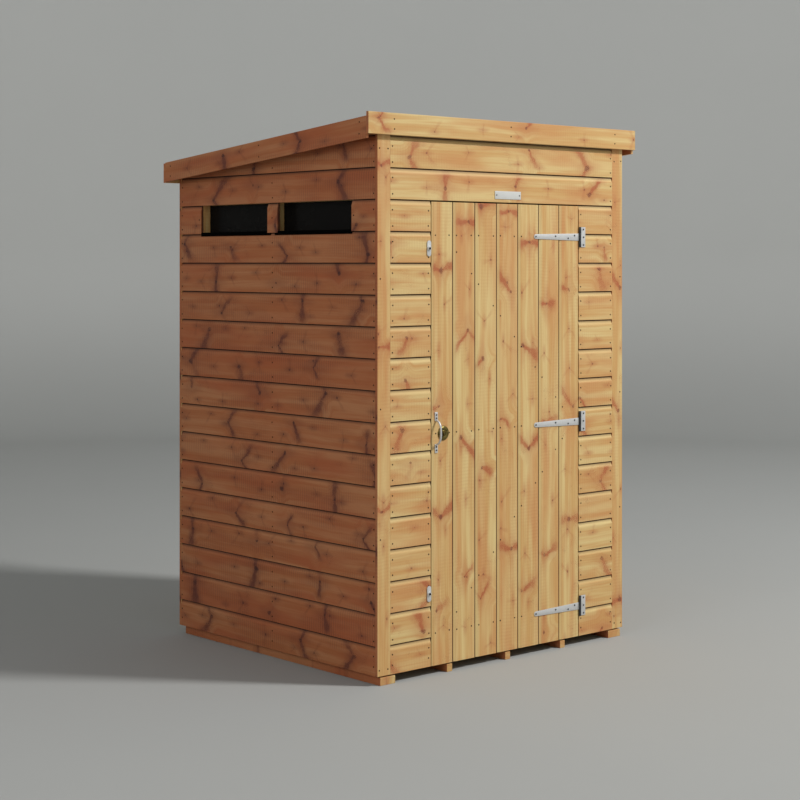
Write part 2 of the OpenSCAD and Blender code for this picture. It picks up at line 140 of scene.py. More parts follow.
class Sock:
    """A shader socket that can be used in Python sums."""

    def __init__(self, shader, socket):
        self.shader, self.socket = shader, socket

    def _math(self, operation, *terms):
        node = self.shader.node("ShaderNodeMath", {"operation": operation}, dict(enumerate(terms)))
        return node["Value"]

    def __add__(self, other):
        return self._math("ADD", self, other)

    def __radd__(self, other):
        return self._math("ADD", other, self)

    def __sub__(self, other):
        return self._math("SUBTRACT", self, other)

    def __rsub__(self, other):
        return self._math("SUBTRACT", other, self)

    def __mul__(self, other):
        return self._math("MULTIPLY", self, other)

    def __rmul__(self, other):
        return self._math("MULTIPLY", other, self)

    def __truediv__(self, other):
        return self._math("DIVIDE", self, other)

    def __pow__(self, other):
        return self._math("POWER", self, other)

    def sine(self):
        return self._math("SINE", self)

    def size(self):
        return self._math("ABSOLUTE", self)

    def above(self, other):
        return self._math("MAXIMUM", self, other)

    def root(self):
        return self._math("SQRT", self)

    def floor(self):
        return self._math("FLOOR", self)

    def step(self, low, high):
        """0 up to low, 1 from high, and smooth between; low may be the greater."""
        node = self.shader.node(
            "ShaderNodeMapRange",
            {"interpolation_type": "SMOOTHSTEP"},
            {"Value": self, "From Min": low, "From Max": high},
        )
        return node["Result"]


class Shader:
    """One node material, built by expressions."""

    def __init__(self, name):
        self.material = bpy.data.materials.new(name)
        self.material.use_nodes = True
        self.tree = self.material.node_tree
        self.tree.nodes.clear()

    def node(self, kind, settings=None, values=None):
        """Adds a node, sets its settings first and then its sockets, and returns its outputs by name."""
        node = self.tree.nodes.new(kind)
        for key, value in (settings or {}).items():
            setattr(node, key, value)
        for key, value in (values or {}).items():
            socket = node.inputs[key]
            if isinstance(value, Sock):
                self.tree.links.new(value.socket, socket)
            elif hasattr(socket.default_value, "__len__") and hasattr(value, "__len__"):
                socket.default_value = list(value) + [1.0] * (len(socket.default_value) - len(value))
            else:
                socket.default_value = value
        outputs = {}
        for output in node.outputs:
            if output.enabled and output.name not in outputs:
                outputs[output.name] = Sock(self, output)
        return outputs

    def point(self, x, y, z=0.0):
        return self.node("ShaderNodeCombineXYZ", None, {"X": x, "Y": y, "Z": z})["Vector"]

    def split(self, vector):
        parts = self.node("ShaderNodeSeparateXYZ", None, {"Vector": vector})
        return parts["X"], parts["Y"], parts["Z"]

    def noise(self, vector, detail=3.0, roughness=0.55):
        values = {"Vector": vector, "Scale": 1.0, "Detail": detail, "Roughness": roughness}
        return self.node("ShaderNodeTexNoise", {"noise_dimensions": "3D"}, values)["Fac"]

    def blend(self, amount, first, second):
        """A colour mix: first where amount is 0 and second where it is 1."""
        node = self.tree.nodes.new("ShaderNodeMix")
        node.data_type, node.blend_type = "RGBA", "MIX"
        for socket, value in ((node.inputs[0], amount), (node.inputs[6], first), (node.inputs[7], second)):
            if isinstance(value, Sock):
                self.tree.links.new(value.socket, socket)
            elif hasattr(value, "__len__"):
                socket.default_value = list(value)[:3] + [1.0]
            else:
                socket.default_value = value
        return Sock(self, node.outputs[2])

    def finish(self, base, roughness=0.5, metallic=0.0, bump=None, bump_depth=0.0003, **fixed):
        """Joins the sums to a Principled shader and returns the material."""
        values = {"Base Color": base, "Roughness": roughness, "Metallic": metallic}
        for key, value in fixed.items():
            values[key.replace("_", " ")] = value
        if bump is not None:
            relief = {"Height": bump, "Strength": 1.0, "Distance": bump_depth}
            values["Normal"] = self.node("ShaderNodeBump", None, relief)["Normal"]
        surface = self.node("ShaderNodeBsdfPrincipled", None, values)["BSDF"]
        self.node("ShaderNodeOutputMaterial", None, {"Surface": surface})
        return self.material


# ------------------------------------------------------------------ materials

MADE = {}


def finish_of(name, maker):
    """The material of that name, made the first time it is asked for."""
    if name not in MADE:
        MADE[name] = maker(name)
    return MADE[name]


def knots(s, along, across, tint, gap, size, middle, spread, seed):
    """One knot in each stretch of a board: its core, its flames and glow, its halo and the bent grain."""
    cell = (along / gap).floor()
    first = s.node("ShaderNodeTexWhiteNoise", None, {"Vector": s.point(cell, tint * 91.7, seed)})
    second = s.node("ShaderNodeTexWhiteNoise", None, {"Vector": s.point(cell, tint * 91.7, seed + 0.5)})
    place, height, lean = s.split(first["Color"])
    above, below, big = s.split(second["Color"])
    ragged = s.noise(s.point(along * 26.0, across * 26.0, tint * 9.0 + seed), 4.0, 0.62) - 0.5
    rough = s.noise(s.point(along * 26.0, across * 26.0, tint * 9.0 + seed + 7.0), 4.0, 0.62) - 0.5
    dx = along - (cell + 0.5) * gap - (place - 0.5) * gap * 0.5 + ragged * size * 4.2
    dy = across - middle - (height - 0.5) * (2.0 * spread) + rough * size * 2.6
    far = dy.size()
    upper = dy.step(-0.002, 0.002)
    arm = (dx - (lean - 0.5) * 2.2 * far) / (far * 0.20 + size * (big * 0.5 + 0.25))
    strength = above.step(0.15, 0.45) * upper + below.step(0.15, 0.45) * (1.0 - upper)
    fade = (far / (size * 5.0 + big * size * 7.0)).step(1.2, 0.6) * strength
    flame = arm.size().step(1.5, 0.35) * fade
    glow = (arm * 0.28).size().step(1.1, 0.1) * fade
    core = ((dx * dx * 0.7 + dy * dy).root() / ((big * 0.7 + 0.35) * size)).step(1.25, 0.6)
    halo = ((dx * dx * 0.12 + dy * dy).root() / (size * 3.2)).step(1.2, 0.1)
    bend = (dx.size() / (size * 5.0)).step(1.0, 0.0) * dy
    return core, flame, glow, halo, bend


def timber(
    s, pale, mid, warm, flame_tone, knot,
    lip=1.0, middle=0.056, spread=0.036, gap=0.46, saw=0.10, gap_edge=0.0034, hollow=0.55, edge_shade=0.85,
):
    """Pine with its figure along the grain attribute: streaks, knots with flames across the grain, saw marks.

    Lip is the height of a board's joint edge. The hollow under it is blended towards the pale tone by hollow,
    as a painted highlight;
    the joint below it gets painted shade over gap_edge, and the last argument is how much painted shade
    darkens the board's hidden thickness."""
    grain = s.node("ShaderNodeAttribute", {"attribute_name": GRAIN})["Vector"]
    tint = s.node("ShaderNodeAttribute", {"attribute_name": TINT})["Fac"]
    along, across, deep = s.split(grain)
    core, flame, glow, halo, bend = knots(s, along, across, tint, gap, 0.0092, middle, spread, 3.0)
    core2, flame2, _, halo2, _ = knots(s, along, across, tint, gap * 0.43, 0.0042, middle, spread, 11.0)
    wave = s.noise(s.point(along * 1.3, across * 7.0, tint * 9.0), 2.0, 0.5)
    level = across - bend * 0.5 + wave * 0.045 + deep * 0.4
    streak = s.noise(s.point(along * 1.6, level * 42.0, tint * 5.0), 3.0, 0.55)
    broad = s.noise(s.point(along * 2.2, level * 13.0, tint * 17.0 + 4.0), 2.0, 0.5)
    blotch = s.noise(s.point(along * 6.0, across * 22.0, tint * 31.0), 2.0, 0.5)
    fibre = s.noise(s.point(along * 16.0, level * 480.0, deep * 90.0), 2.0, 0.6)
    rings = (level * (2 * math.pi / 0.0105)).sine() * 0.5 + 0.5
    saw_mask = s.noise(s.point(along * 3.4, across * 12.0, tint * 3.0 + 2.0), 1.0, 0.5).step(0.44, 0.60)
    saw_line = (along * (2 * math.pi / 0.0125) + wave * 7.0 + blotch * 2.5).sine() * 0.5 + 0.5
    base = s.blend(streak.step(0.34, 0.66), pale, mid)
    base = s.blend(broad.step(0.42, 0.72) * 0.75, base, warm)
    base = s.blend((rings ** 2.0) * streak.step(0.3, 0.65) * 0.30, base, warm)
    base = s.blend(blotch.step(0.55, 0.8) * 0.35, base, warm)
    base = s.blend(tint.step(0.55, 1.0) * 0.30, base, warm)
    base = s.blend(saw_line * saw_mask * saw * (broad * 1.2 + 0.4), base, flame_tone)
    base = s.blend(halo * 0.30, base, flame_tone)
    base = s.blend(glow * 0.42, base, flame_tone)
    grainy = (s.noise(s.point(along * 260.0, across * 60.0, tint), 2.0, 0.5) - 0.5) * 0.7
    base = s.blend(((flame + grainy * flame) * 0.80).above(0.0), base, flame_tone)
    base = s.blend(flame2 * 0.22 + halo2 * 0.40, base, flame_tone)
    base = s.blend(core * 0.80, base, knot)
    base = s.blend(core2 * 0.70, base, knot)
    base = s.blend(fibre.step(0.55, 0.8) * 0.16, base, flame_tone)
    # Painted highlight: the hollow under each lip is blended towards the pale tone, for the light it catches
    # from above.
    base = s.blend(across.step(lip - 0.021, lip - 0.013) * hollow, base, pale)
    # Painted shade: the joint gap under each lip is darkened, and so is the board wherever it lies deeper
    # than about 2 mm: the deep part of the hollow, its edges and ends, and its inner face.
    gap_shade = across.step(lip - gap_edge - 0.0012, lip - gap_edge).above(deep.step(0.0018, 0.006) * edge_shade)
    base = s.blend(gap_shade * 0.92, base, [v * 0.30 for v in knot])
    bump = fibre * 0.6 + rings * 0.25 + saw_line * saw_mask * 0.3
    return s.finish(base, 0.56 + streak * 0.16, 0.0, bump, 0.0003, IOR=1.45)


def board_tones(shade=(1.0, 1.0, 1.0), dark=(1.0, 1.0, 1.0)):
    """The five timber tones: pale, middle, warm, flame and knot, scaled by the given shares, which on the
    left side are painted shade.
    """
    c = colours()
    tones = [stained(tone, shade) for tone in (c.pale, c.mid, c.warm)]
    return tones + [stained(tone, dark) for tone in (c.flame, c.knot)]


def stained(tone, shade):
    """A timber colour scaled by shares, such as the painted shade of the left side."""
    return [a * b for a, b in zip(tone, shade)]


def front_timber(name):
    return timber(Shader(name), *board_tones(), lip=sizes().cover)


def door_timber(name):
    return timber(Shader(name), *board_tones(), lip=sizes().cover, gap_edge=sizes().door_gap + 0.0004)


# Painted shade: the front tones darkened and reddened for the left wall, with a weaker painted highlight in
# the hollows.
def side_timber(name):
    tones = board_tones(colours().shade, colours().shade_flame)
    return timber(Shader(name), *tones, lip=sizes().cover, gap=0.40, saw=0.26, hollow=0.12)


def trim_timber(name):
    return timber(Shader(name), *board_tones(), middle=0.0, spread=0.025, gap=0.62, edge_shade=0.0)


# Painted shade: the trim tones darkened and reddened for left-facing faces.
def side_trim_timber(name):
    tones = board_tones(colours().shade, colours().shade_flame)
    return timber(Shader(name), *tones, middle=0.0, spread=0.025, gap=0.5, saw=0.2, edge_shade=0.0)


def frame_timber(name):
    tones = board_tones((0.92, 0.92, 0.92))
    return timber(Shader(name), *tones, middle=0.0, spread=0.012, gap=0.7, edge_shade=0.0)


def object_point(s):
    return s.split(s.node("ShaderNodeTexCoord")["Object"])


def zinc(name):
    """Bright zinc: faint spangle, small scuffs and duller patches."""
    s = Shader(name)
    x, y, z = object_point(s)
    spangle = s.node(
        "ShaderNodeTexVoronoi", {"feature": "F1"}, {"Vector": s.point(x, y, z), "Scale": 320.0}
    )
    cloud = s.noise(s.point(x * 60, y * 60, z * 60), 4.0)
    tone, _, _ = s.split(spangle["Color"])
    c = colours().zinc
    base = s.blend(tone * 0.35 + cloud * 0.3, c, [v * 0.80 for v in c])
    return s.finish(base, 0.36 + cloud * 0.22, 0.35, cloud, 0.0002)


def brass(name):
    """Aged brass: brown tarnish over a warm polished face."""
    s = Shader(name)
    x, y, z = object_point(s)
    cloud = s.noise(s.point(x * 90, y * 90, z * 90), 4.0)
    c = colours().brass
    base = s.blend(cloud.step(0.42, 0.66), c, [v * 0.45 for v in c])
    return s.finish(base, 0.22 + cloud * 0.2, 0.9, cloud, 0.0001)


def dark_steel(name):
    """Dull dark steel of nail and screw heads, also used as painted shade in screw recesses and the keyhole.
    """
    s = Shader(name)
    x, y, z = object_point(s)
    cloud = s.noise(s.point(x * 300, y * 300, z * 300), 2.0)
    base = s.blend(cloud, (0.012, 0.008, 0.006), (0.030, 0.018, 0.012))
    return s.finish(base, 0.8, 0.0, Specular_IOR_Level=0.1)


def screw_steel(name):
    """Blued steel of the screw heads, also used as painted shade on the hinge knuckles."""
    s = Shader(name)
    x, y, z = object_point(s)
    cloud = s.noise(s.point(x * 300, y * 300, z * 300), 2.0)
    base = s.blend(cloud, (0.022, 0.025, 0.030), (0.050, 0.055, 0.062))
    return s.finish(base, 0.45 + cloud * 0.2, 0.3)


def black_enamel(name):
    s = Shader(name)
    x, y, z = object_point(s)
    cloud = s.noise(s.point(x * 120, y * 120, z * 120), 3.0)
    base = s.blend(cloud, (0.012, 0.012, 0.013), (0.030, 0.030, 0.032))
    return s.finish(base, 0.34 + cloud * 0.2, 0.0, cloud, 0.00015)


def tinted_sheet(name):
    """Dark plastic glazing with a faint haze."""
    s = Shader(name)
    x, y, z = object_point(s)
    cloud = s.noise(s.point(x * 5, y * 5, z * 9), 3.0)
    base = s.blend(cloud, (0.0045, 0.004, 0.004), (0.008, 0.007, 0.006))
    return s.finish(base, 0.22 + cloud * 0.10, 0.0, Specular_IOR_Level=0.05)


# A near-black matt strip along the foot of each window opening.
def black_rubber(name):
    s = Shader(name)
    x, y, z = object_point(s)
    cloud = s.noise(s.point(x * 80, y * 80, z * 80), 3.0)
    base = s.blend(cloud, (0.0004, 0.0004, 0.0004), (0.0012, 0.0012, 0.0012))
    return s.finish(base, 0.8, Specular_IOR_Level=0.02)


def white_plastic(name):
    s = Shader(name)
    x, y, z = object_point(s)
    cloud = s.noise(s.point(x * 40, y * 40, z * 40), 3.0)
    base = s.blend(cloud, (0.66, 0.66, 0.63), (0.58, 0.58, 0.56))
    return s.finish(base, 0.32 + cloud * 0.1)


def mineral_felt(name):
    """Roofing felt: dark bitumen under a grit of mineral chips."""
    s = Shader(name)
    x, y, z = object_point(s)
    grit = s.node(
        "ShaderNodeTexVoronoi", {"feature": "F1"}, {"Vector": s.point(x, y, z), "Scale": 700.0}
    )
    tone, _, _ = s.split(grit["Color"])
    cloud = s.noise(s.point(x * 6, y * 6, z * 6), 4.0)
    c = colours().felt
    base = s.blend(tone * 0.6 + cloud * 0.4, [v * 0.55 for v in c], [v * 1.9 for v in c])
    return s.finish(base, 0.9, 0.0, grit["Distance"], 0.0008)


def painted_ground(name):
    """Matt grey floor that grows paler up the backdrop."""
    s = Shader(name)
    x, y, z = object_point(s)
    cloud = s.noise(s.point(x * 0.7, y * 0.7, z * 0.7), 4.0)
    c = colours()
    base = s.blend(z.step(0.0, 1.6), c.ground, c.backdrop)
    base = s.blend(cloud * 0.08, base, (0.2, 0.2, 0.2))
    return s.finish(base, 0.85, Specular_IOR_Level=0.1)


# ------------------------------------------------------------------ modelling tools


def only(obj):
    """Selects one object and makes it active."""
    bpy.ops.object.select_all(action="DESELECT")
    obj.select_set(True)
    bpy.context.view_layer.objects.active = obj


@contextmanager
def editing(obj):
    """Edit mode on one object, with everything in it selected."""
    only(obj)
    bpy.ops.object.mode_set(mode="EDIT")
    bpy.ops.mesh.select_all(action="SELECT")
    yield obj
    bpy.ops.object.mode_set(mode="OBJECT")


def pick(obj, test, mode="VERT"):
    """In edit mode, selects only the vertices, edges or faces that pass a test."""
    bpy.ops.mesh.select_mode(type=mode)
    bpy.ops.mesh.select_all(action="DESELECT")
    mesh = bmesh.from_edit_mesh(obj.data)
    parts = {"VERT": mesh.verts, "EDGE": mesh.edges, "FACE": mesh.faces}[mode]
    for part in parts:
        part.select_set(bool(test(part)))
    mesh.select_flush_mode()
    bmesh.update_edit_mesh(obj.data)


def primitive(kind, name, **settings):
    """A mesh primitive with its place applied to its mesh."""
    bpy.ops.object.select_all(action="DESELECT")
    getattr(bpy.ops.mesh, "primitive_" + kind + "_add")(**settings)
    obj = bpy.context.active_object
    obj.name = name
    bpy.ops.object.transform_apply(location=True, rotation=True, scale=True)
    return obj


def cuboid(name, low, high):
    """A cube shaped to the box between two corners."""
    low, high = Vector(low), Vector(high)
    return primitive("cube", name, size=1.0, location=(low + high) / 2, scale=high - low)


def round_edges(obj, width, segments=2, angle=30.0):
    """Bevels the sharp edges and applies the result."""
    only(obj)
    bevel = obj.modifiers.new("round", "BEVEL")
    bevel.width, bevel.segments = width, segments
    bevel.limit_method, bevel.angle_limit = "ANGLE", math.radians(angle)
    bevel.harden_normals = False
    bpy.ops.object.modifier_apply(modifier=bevel.name)


def smooth(obj, angle=35.0):
    only(obj)
    bpy.ops.object.shade_smooth_by_angle(angle=math.radians(angle))


def dress(obj, material):
    obj.data.materials.clear()
    obj.data.materials.append(material)


def within(place, margin):
    """A place moved, if it must be, to lie in the shed's box and that far inside its upright sides."""
    margins = (margin, margin, 0.0)
    return Vector([min(max(v, a + m), b - m) for v, a, b, m in zip(place, *CAD_BOX, margins)])


def keep_inside(obj, margin=0.0):
    """Draws the points of a piece inside the shed's box."""
    for vertex in obj.data.vertices:
        vertex.co = within(vertex.co, margin)


def hand_over(obj, body, slot, *nodes):
    """Rides the piece on its body and hides the CAD nodes that it stands for; the slot is not used."""
    keep_inside(obj)
    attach(obj, body)
    if nodes:
        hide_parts(*nodes)


def axes(x_axis, y_axis, z_axis, origin):
    """A placing matrix from three unit directions and an origin."""
    rows = Matrix((x_axis, y_axis, z_axis)).transposed().to_4x4()
    rows.translation = Vector(origin)
    return rows


def set_grain(mesh, vectors, tints):
    """Stores the board coordinates and the tint of each point."""
    grain = mesh.attributes.get(GRAIN) or mesh.attributes.new(GRAIN, "FLOAT_VECTOR", "POINT")
    grain.data.foreach_set("vector", np.asarray(vectors, np.float32).ravel())
    tint = mesh.attributes.get(TINT) or mesh.attributes.new(TINT, "FLOAT", "POINT")
    tint.data.foreach_set("value", np.asarray(tints, np.float32))


def repeat(template, name, places, rng=None):
    """A mesh with a copy of the template at each place: a matrix and the length of the copy along its own X.

    With a random source, each copy gets grain of its own."""
    points = np.array([v.co for v in template.data.vertices], float)
    faces = [list(p.vertices) for p in template.data.polygons]
    all_points, all_faces, grain, tints = [], [], [], []
    for matrix, stretch in places:
        own = points * np.array([stretch, 1.0, 1.0])
        solid = np.array(matrix.to_3x3())
        start = len(all_points) * len(points)
        all_points.append(own @ solid.T + np.array(matrix.translation))
        all_faces += [[start + i for i in face] for face in faces]
        if rng:
            shift = np.array([rng.uniform(0, 40), 0.0, 0.0])
            grain.append(own[:, [0, 2, 1]] + shift)
            tints += [rng.random()] * len(points)
    mesh = bpy.data.meshes.new(name)
    mesh.from_pydata(np.concatenate(all_points).tolist(), [], all_faces)
    if rng:
        set_grain(mesh, np.concatenate(grain), tints)
    obj = bpy.data.objects.new(name, mesh)
    bpy.context.scene.collection.objects.link(obj)
    return obj


def discard(obj):
    bpy.data.objects.remove(obj, do_unlink=True)


def cut(obj, point, normal):
    """Cuts away what lies on the normal's side of a plane, and closes the cut."""
    with editing(obj):
        bpy.ops.mesh.bisect(
            plane_co=point, plane_no=normal, use_fill=True, clear_outer=True, threshold=1e-6
        )


def islands(mesh):
    """The vertex numbers of each separate solid in a mesh."""
    parent = list(range(len(mesh.vertices)))

    def root(i):
        while parent[i] != i:
            parent[i] = parent[parent[i]]
            i = parent[i]
        return i

    for edge in mesh.edges:
        parent[root(edge.vertices[0])] = root(edge.vertices[1])
    groups = {}
    for i in range(len(parent)):
        groups.setdefault(root(i), []).append(i)
    return [groups[key] for key in sorted(groups)]


def grain_by_shape(obj, rng):
    """Runs the grain of each solid along its own longest direction."""
    points = np.array([v.co for v in obj.data.vertices], float)
    vectors, tints = np.zeros_like(points), np.zeros(len(points))
    for group in islands(obj.data):
        own = points[group]
        middle = (own.max(0) + own.min(0)) / 2
        _, directions = np.linalg.eigh(np.cov((own - middle).T))
        local = (own - middle) @ directions[:, ::-1]
        vectors[group] = local + np.array([rng.uniform(0, 40), 0.0, 0.0])
        tints[group] = rng.random()
    set_grain(obj.data, vectors, tints)


def cad_copy(node, name, rounding, segments=2):
    """A merged copy of a CAD node's mesh with its edges rounded."""
    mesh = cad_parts[node].data.copy()
    obj = bpy.data.objects.new(name, mesh)
    bpy.context.scene.collection.objects.link(obj)
    with editing(obj):
        bpy.ops.mesh.remove_doubles(threshold=1e-5)
        bpy.ops.mesh.dissolve_limited(angle_limit=math.radians(0.5))
    if rounding:
        round_edges(obj, rounding, segments)
    return obj


def timber_from(node, body, slot, maker, rng):
    """A rounded, grained stand-in for a CAD node of plain timbers."""
    obj = cad_copy(node, node + "_wood", sizes().edge_round, 2)
    keep_inside(obj, NAIL_STAND)
    grain_by_shape(obj, rng)
    dress(obj, finish_of(maker.__name__, maker))
    hand_over(obj, body, slot, node)
    return obj


# ------------------------------------------------------------------ places from the frame

SHED, DOOR = "shed", "door"
NAIL_STAND = 0.9 * MM
FRONT_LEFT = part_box("front_cladding_left")
FRONT_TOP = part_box("front_cladding_top")
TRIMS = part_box("corner_trims_front")
LEFT_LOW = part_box("left_cladding_lower")
LEFT_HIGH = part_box("left_cladding_upper")
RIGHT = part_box("right_cladding")
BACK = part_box("back_cladding")
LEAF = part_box("door_boards")
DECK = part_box("roof_deck")
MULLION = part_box("window_mullion")
PIER_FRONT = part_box("left_cladding_front")
PIER_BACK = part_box("left_cladding_back")

HALF_W = TRIMS[1].x
MIDDLE_Z = (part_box("lock_case")[0].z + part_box("lock_case")[1].z) / 2
HALF_D = -TRIMS[0].y
BOARD_T = TRIMS[1].y - TRIMS[0].y
CLAD_Z = TRIMS[0].z
TRIM_W = FRONT_LEFT[0].x + HALF_W
DOORWAY_X = -FRONT_LEFT[1].x
DOORWAY_TOP = FRONT_TOP[0].z
ROOF_FALL = (DECK[1].z - DECK[0].z - 12 * MM) / (DECK[1].y - DECK[0].y)


def roof_under(y):
    """Height of the cladding's top under the roof boards, at a place along the shed."""
    return LEFT_HIGH[1].z - (y - LEFT_HIGH[0].y) * ROOF_FALL


def first_joint():
    """Height of the lowest joint between cladding boards, which lines up with the window and the doorway."""
    cover = sizes().cover
    return DOORWAY_TOP - cover * math.floor((DOORWAY_TOP - CLAD_Z) / cover)


def courses(top):
    """Lower edges of the rows of boards, up to a height."""
    cover = sizes().cover
    start = first_joint() - cover
    count = int(math.ceil((top - start) / cover))
    return [start + i * cover for i in range(count)]


# ------------------------------------------------------------------ boards


def shiplap_board(scoop, gap_width):
    """One metre of shiplap along X: face at Y 0, with a hollow along the top and a gap at the joint."""
    p = sizes()
    board = cuboid("shiplap_board", (0, 0, 0), (1, BOARD_T, p.cover))
    start, gap = p.cover - p.scoop_height, p.cover - gap_width
    stops = [(start, 0.0), (start + 3 * MM, scoop * 0.13), (start + 8 * MM, scoop * 0.48), (gap, scoop)]
    stops += [(gap + 0.2 * MM, BOARD_T - 1.5 * MM), (p.cover, BOARD_T - 1.5 * MM)]
    with editing(board):
        for height, _ in stops[:-1]:
            bpy.ops.mesh.select_all(action="SELECT")
            bpy.ops.mesh.bisect(plane_co=(0, 0, height), plane_no=(0, 0, 1))
        for height, depth in stops:
            pick(board, lambda v: abs(v.co.z - height) < 1e-5 and v.co.y < 1e-5)
            bpy.ops.transform.translate(value=(0, depth, 0))
        pick(board, lambda e: all(v.co.z < 1e-5 and v.co.y < 1e-5 for v in e.verts), "EDGE")
        bpy.ops.mesh.bevel(offset=0.8 * MM, segments=2, affect="EDGES")
    return board


def plain_board(width, thick):
    """One metre of square-edged board along X, with its face at Y 0 and eased long edges."""
    board = cuboid("plain_board", (0, 0, 0), (1, thick, width))
    with editing(board):
        pick(board, lambda e: abs(e.verts[0].co.x - e.verts[1].co.x) > 0.5, "EDGE")
        bpy.ops.mesh.bevel(offset=1.0 * MM, segments=1, affect="EDGES")
    return board


def wall_boards(name, spans, top, placing, rng):
    """Rows of shiplap: spans(z) lists a row's stretches, and placing(start, z) gives a board's matrix."""
    template = shiplap_board(sizes().scoop_depth, sizes().joint_gap)
    places = []
    for z in courses(top):
        for start, end in spans(z):
            places.append((placing(start, z), end - start))
    obj = repeat(template, name, places, rng)
    discard(template)
    return obj


def trim_wall(obj):
    """Cuts a wall's boards to the cladding's lower edge and to the underside of the roof."""
    cut(obj, (0, 0, CLAD_Z), (0, 0, -1))
    cut(obj, (0, 0, roof_under(0)), (0, ROOF_FALL, 1))


class SHED_OT_front_boards(bpy.types.Operator):
    """Clads the front beside and over the doorway"""

    bl_idname = "shed.front_boards"
    bl_label = "Front boards"

    def execute(self, context):
        rng = random.Random(sizes().seed + 1)
        inner = HALF_W - TRIM_W

        def spans(z):
            if z > DOORWAY_TOP - 1e-4:
                return [(-inner, inner)]
            return [(-inner, -DOORWAY_X), (DOORWAY_X, inner)]

        def placing(start, z):
            return axes(HEX["X"], HEX["Y"], HEX["Z"], (start, -HALF_D, z))

        obj = wall_boards("front_boards", spans, roof_under(-HALF_D), placing, rng)
        trim_wall(obj)
        dress(obj, finish_of("front_timber", front_timber))
        nodes = ("front_cladding_left", "front_cladding_right", "front_cladding_top")
        hand_over(obj, SHED, "front_timber", *nodes)
        return {"FINISHED"}


class SHED_OT_left_boards(bpy.types.Operator):
    """Clads the left wall round its two windows"""

    bl_idname = "shed.left_boards"
    bl_label = "Left wall boards"

    def execute(self, context):
        rng = random.Random(sizes().seed + 2)
        y0, y1 = LEFT_LOW[0].y, LEFT_LOW[1].y
        window_row = DOORWAY_TOP - sizes().cover

        def spans(z):
            if abs(z - window_row) < 1e-4:
                return [(y0, PIER_FRONT[1].y), (MULLION[0].y, MULLION[1].y), (PIER_BACK[0].y, y1)]
            return [(y0, y1)]

        def placing(start, z):
            return axes(HEX["Y"], HEX["X"], HEX["Z"], (-HALF_W, start, z))

        obj = wall_boards("left_boards", spans, roof_under(y0), placing, rng)
        with editing(obj):
            bpy.ops.mesh.flip_normals()
        trim_wall(obj)
        dress(obj, finish_of("side_timber", side_timber))
        nodes = ["left_cladding_" + part for part in ("lower", "upper", "front", "back")]
        hand_over(obj, SHED, "front_timber", "window_mullion", *nodes)
        return {"FINISHED"}


class SHED_OT_right_boards(bpy.types.Operator):
    """Clads the right wall"""

    bl_idname = "shed.right_boards"
    bl_label = "Right wall boards"

    def execute(self, context):
        rng = random.Random(sizes().seed + 3)

        def placing(start, z):
            return axes(HEX["Y"], -HEX["X"], HEX["Z"], (HALF_W, start, z))

        spans = [(RIGHT[0].y, RIGHT[1].y)]
        obj = wall_boards("right_boards", lambda z: spans, roof_under(RIGHT[0].y), placing, rng)
        trim_wall(obj)
        dress(obj, finish_of("front_timber", front_timber))
        hand_over(obj, SHED, "front_timber", "right_cladding")
        return {"FINISHED"}


class SHED_OT_back_boards(bpy.types.Operator):
    """Clads the back wall"""

    bl_idname = "shed.back_boards"
    bl_label = "Back wall boards"

    def execute(self, context):
        rng = random.Random(sizes().seed + 4)

        def placing(start, z):
            return axes(-HEX["X"], -HEX["Y"], HEX["Z"], (-start, HALF_D, z))

        spans = [(BACK[0].x, BACK[1].x)]
        obj = wall_boards("back_boards", lambda z: spans, roof_under(HALF_D), placing, rng)
        trim_wall(obj)
        dress(obj, finish_of("front_timber", front_timber))
        hand_over(obj, SHED, "front_timber", "back_cladding")
        return {"FINISHED"}


def door_joints():
    """Left edges of the door's upright boards, from the left edge of the leaf."""
    cover = sizes().cover
    whole = int((LEAF[1].x - LEAF[0].x) / cover)
    first = (LEAF[1].x - LEAF[0].x) - cover * whole + 2 * MM
    return [LEAF[0].x] + [LEAF[0].x + first + cover * i for i in range(whole)]


class SHED_OT_door_boards(bpy.types.Operator):
    """Makes the door's upright shiplap boards"""

    bl_idname = "shed.door_boards"
    bl_label = "Door boards"

    def execute(self, context):
        rng = random.Random(sizes().seed + 5)
        cover = sizes().cover
        template = shiplap_board(sizes().scoop_depth * 0.6, sizes().door_gap)
        height = LEAF[1].z - LEAF[0].z
        joints = door_joints()
        rights = joints[1:] + [joints[-1] + cover]
        places = [
            (axes(HEX["Z"], HEX["Y"], -HEX["X"], (right, LEAF[0].y, LEAF[0].z)), height)
            for right in rights
        ]
        obj = repeat(template, "door_planks", places, rng)
        discard(template)
        cut(obj, (LEAF[0].x, 0, 0), (-1, 0, 0))
        cut(obj, (LEAF[1].x, 0, 0), (1, 0, 0))
        dress(obj, finish_of("door_timber", door_timber))
        hand_over(obj, DOOR, "front_timber", "door_boards")
        return {"FINISHED"}


def shade_left(obj):
    """Gives the faces that look left the darker, redder timber of the left wall, as painted shade for the
    side away from the key light.
    """
    obj.data.materials.append(finish_of("side_trim_timber", side_trim_timber))
    for face in obj.data.polygons:
        if face.normal.x < -0.7:
            face.material_index = 1


class SHED_OT_trims(bpy.types.Operator):
    """Makes the corner trims, fascias and barge boards"""

    bl_idname = "shed.trims"
    bl_label = "Trims and fascias"

    def execute(self, context):
        rng = random.Random(sizes().seed + 6)
        for node in ("corner_trims_front", "corner_trims_back", "fascia_front", "fascia_back", "barge_right"):
            obj = timber_from(node, SHED, "front_timber", trim_timber, rng)
            shade_left(obj)
        timber_from("barge_left", SHED, "front_timber", side_trim_timber, rng)
        return {"FINISHED"}


